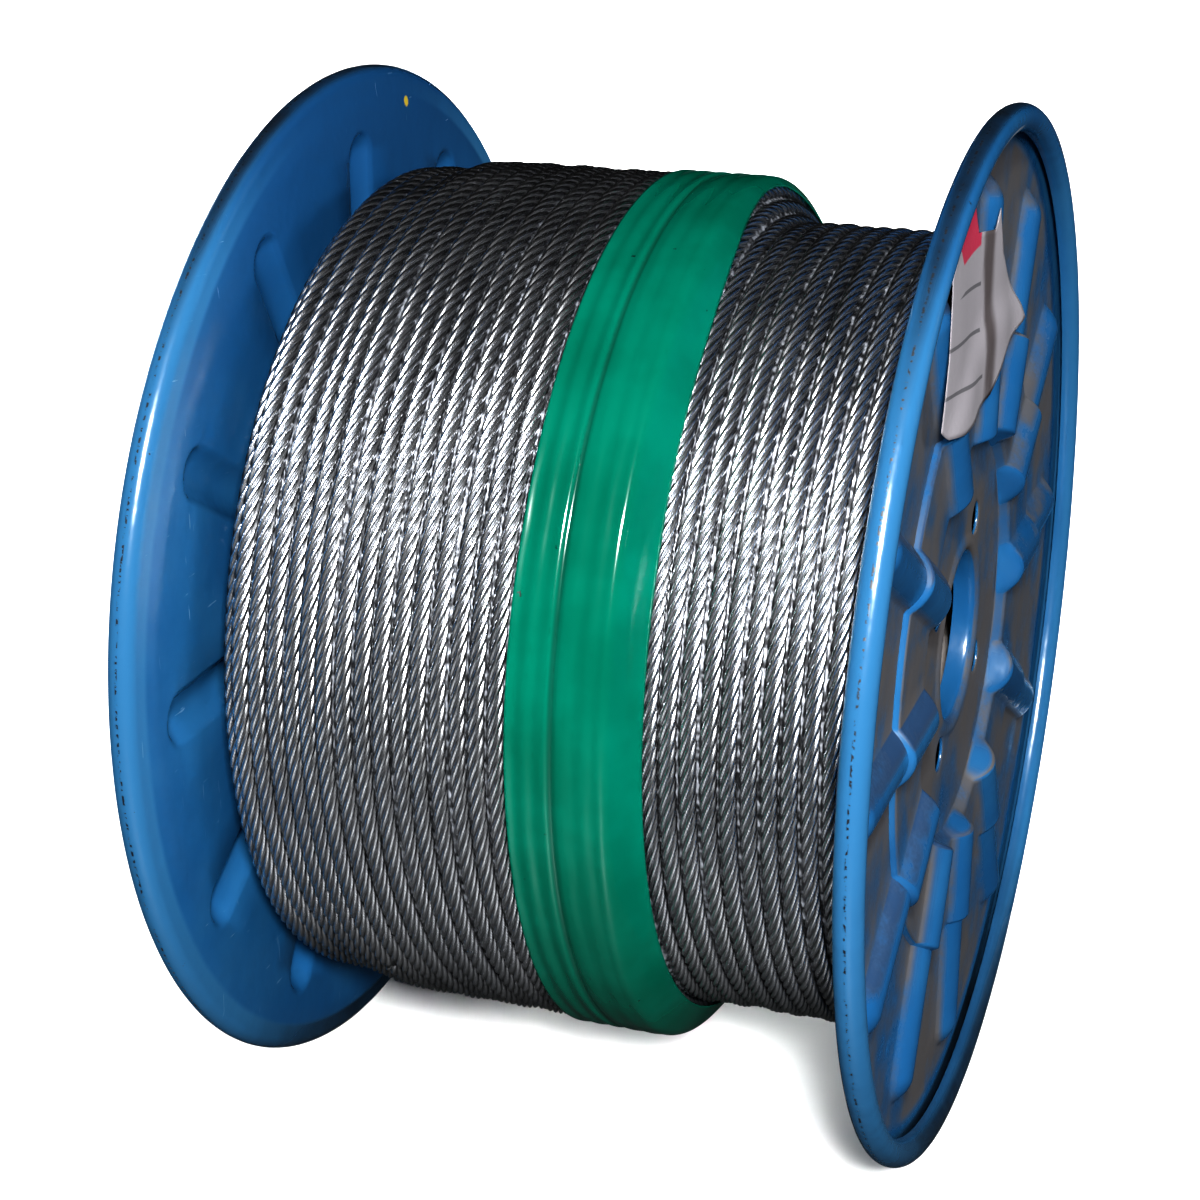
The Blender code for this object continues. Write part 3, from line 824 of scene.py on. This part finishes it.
paper, shader, place = new_finish("label_paper")
y, z = place.axis(1), place.axis(2)
fibre = place.noise(700.0, 3.0)
smear = place.noise(60.0, 4.0, (1.0, 1.0, 0.4))
from_streak = (y + smear * 0.012 - STREAK_SIDE).maths("ABSOLUTE")
streak = from_streak.slope(*STREAK_WIDTH) * (0.30 + 1.2 * smear)
dirt = (streak + smear * 0.5 - 0.10).slope(0.30, 1.00)
red = y.slope(*PATCH_SIDE) * z.slope(*PATCH_FOOT) * (z + PATCH_SLANT * y).slope(*PATCH_TIP)
from_line = ((z + LINE_SLANT * y) * LINES_A_METRE).maths("FRACT") - 0.5
lines = from_line.maths("ABSOLUTE").slope(0.050, 0.035) * z.slope(*LINES_TOP)
lines = lines * y.slope(*LINES_LEFT) * y.slope(*LINES_RIGHT)
colour = dirt.tint(PAPER, PAPER_DIRT)
colour = (lines * 0.8).tint(colour, RULED_LINE)
(red * (1 - dirt * 0.5)).tint(colour, RED_PATCH).feed(shader, "Base Color")
(0.75 - 0.3 * red).feed(shader, "Roughness")
(fibre * 0.4 + smear).bump(0.0003).feed(shader, "Normal")

label = new_piece("label_sheet", label_mesh, paper)
skin = label.modifiers.new("Paper thickness", "SOLIDIFY")
skin.thickness = LABEL_THICKNESS
skin.offset = 1.0
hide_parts("paper_label")
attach(label, "root")

# Floor, light and camera
# The reel stands on a plain pale floor inside a white wall. A small strong light a little above the
# camera gives the hard highlights, and weaker lights at the sides and behind fill the rest.
FLOOR_HALF = 30.0
FLOOR_COLOUR = (0.80, 0.80, 0.80, 1.0)
CAMERA_PLACE = (0.2082, -0.6433, 0.2609)
CAMERA_TILT = 68.843
CAMERA_TURN = 19.284
CAMERA_LENS = 75.805
GLOW_COLOUR = (0.92, 1.0, 0.97, 1.0)
GLOW_STRENGTH = 0.022
GLOW_LIFT = 0.0002
WHITE = (1.0, 1.0, 1.0, 1.0)
BLACK = (0.0, 0.0, 0.0, 1.0)
BACKDROP_RADIUS = 12.0
BACKDROP_TOP = 7.0
BACKDROP_SIDES = 96
BACKDROP_STRENGTH = 1.2
FLOOR_LIGHT_STRENGTH = 3.6
FLOOR_LIGHT_SPREAD = 70.0
SKY_COLOUR = (0.95, 0.97, 1.0, 1.0)
SKY_STRENGTH = 0.14

floor_mesh = bpy.data.meshes.new("floor")
corner_signs = (-1, -1), (1, -1), (1, 1), (-1, 1)
floor_corners = [(x * FLOOR_HALF, y * FLOOR_HALF, cad_low.z) for x, y in corner_signs]
floor_mesh.from_pydata(floor_corners, [], [(0, 1, 2, 3)])
floor_finish, shader, place = new_finish("floor_paint")
shader.inputs["Base Color"].default_value = FLOOR_COLOUR
shader.inputs["Roughness"].default_value = 0.8
floor = new_piece("floor", floor_mesh, floor_finish)
floor.visible_glossy = False
floor.visible_diffuse = False


def lit_piece(name, mesh, colour, strength, seen_by):
    """A piece that shines by itself and that only this kind of ray sees."""
    finish, shader, place = new_finish(name)
    shader.inputs["Base Color"].default_value = BLACK
    shader.inputs["Emission Color"].default_value = colour
    shader.inputs["Emission Strength"].default_value = strength
    piece = new_piece(name, mesh, finish)
    for kind in ("camera", "diffuse", "glossy", "transmission", "volume_scatter", "shadow"):
        setattr(piece, "visible_" + kind, kind == seen_by)
    return piece


# The white wall stands far round the reel, and only the camera sees it.
backdrop_round = math.tau * np.arange(BACKDROP_SIDES) / BACKDROP_SIDES
backdrop_points = np.stack([
    np.tile(BACKDROP_RADIUS * np.cos(backdrop_round), (2, 1)),
    np.tile(BACKDROP_RADIUS * np.sin(backdrop_round), (2, 1)),
    np.repeat([[cad_low.z], [BACKDROP_TOP]], BACKDROP_SIDES, axis=1),
], axis=-1)
backdrop_mesh = grid_mesh("backdrop", backdrop_points)
backdrop = lit_piece("backdrop", backdrop_mesh, WHITE, BACKDROP_STRENGTH, "camera")

# Shiny pieces mirror this dim sheet in place of the bright floor. Nothing else sees it.
glow_mesh = floor_mesh.copy()
glow_mesh.materials.clear()
glow = lit_piece("floor_glow", glow_mesh, GLOW_COLOUR, GLOW_STRENGTH, "glossy")
glow.location.z = GLOW_LIFT

camera_data = bpy.data.cameras.new("camera")
camera_data.lens = CAMERA_LENS
camera = bpy.data.objects.new("camera", camera_data)
bpy.context.scene.collection.objects.link(camera)
camera.location = CAMERA_PLACE
camera.rotation_euler = (math.radians(CAMERA_TILT), 0.0, math.radians(CAMERA_TURN))
bpy.context.scene.camera = camera


def add_lamp(name, azimuth, elevation, distance, size, power):
    """An area light that faces the reel. Its azimuth is counted as the camera's is."""
    lamp_data = bpy.data.lights.new(name, "AREA")
    lamp_data.size = size
    lamp_data.energy = power
    lamp = bpy.data.objects.new(name, lamp_data)
    bpy.context.scene.collection.objects.link(lamp)
    turn, rise = math.radians(azimuth), math.radians(elevation)
    back = Vector((math.sin(turn) * math.cos(rise), -math.cos(turn) * math.cos(rise), math.sin(rise)))
    lamp.location = back * distance
    lamp.rotation_euler = (-back).to_track_quat("-Z", "Y").to_euler()
    return lamp


flash = add_lamp("key_light", 20.0, 35.0, 1.0, 0.06, 54.0)
flash.visible_diffuse = False
fill = add_lamp("fill_light", 21.5, 27.0, 1.0, 0.12, 12.5)
fill.visible_glossy = False
add_lamp("back_left_light", 235.0, 3.0, 1.6, 0.4, 4.0)
soft_fills = ("back_light", 205.0, 16.0), ("left_light", 265.0, 9.0), ("right_light", 125.0, 9.0)
for name, azimuth, power in soft_fills:
    soft_fill = add_lamp(name, azimuth, 15.0, 1.8, 0.4, power)
    soft_fill.visible_glossy = False
floor_light_data = bpy.data.lights.new("floor_light", "SUN")
floor_light_data.energy = FLOOR_LIGHT_STRENGTH
floor_light_data.angle = math.radians(FLOOR_LIGHT_SPREAD)
floor_light = bpy.data.objects.new("floor_light", floor_light_data)
bpy.context.scene.collection.objects.link(floor_light)
lit_floor = bpy.data.collections.new("lit_by_floor_light")
lit_floor.objects.link(floor)
floor_light.light_linking.receiver_collection = lit_floor

world = bpy.data.worlds.new("studio")
world.use_nodes = True
background = world.node_tree.nodes["Background"]
background.inputs["Color"].default_value = SKY_COLOUR
background.inputs["Strength"].default_value = SKY_STRENGTH
world.cycles_visibility.glossy = False
bpy.context.scene.world = world
bpy.context.scene.view_settings.view_transform = "Standard"
bpy.context.scene.view_settings.look = "High Contrast"
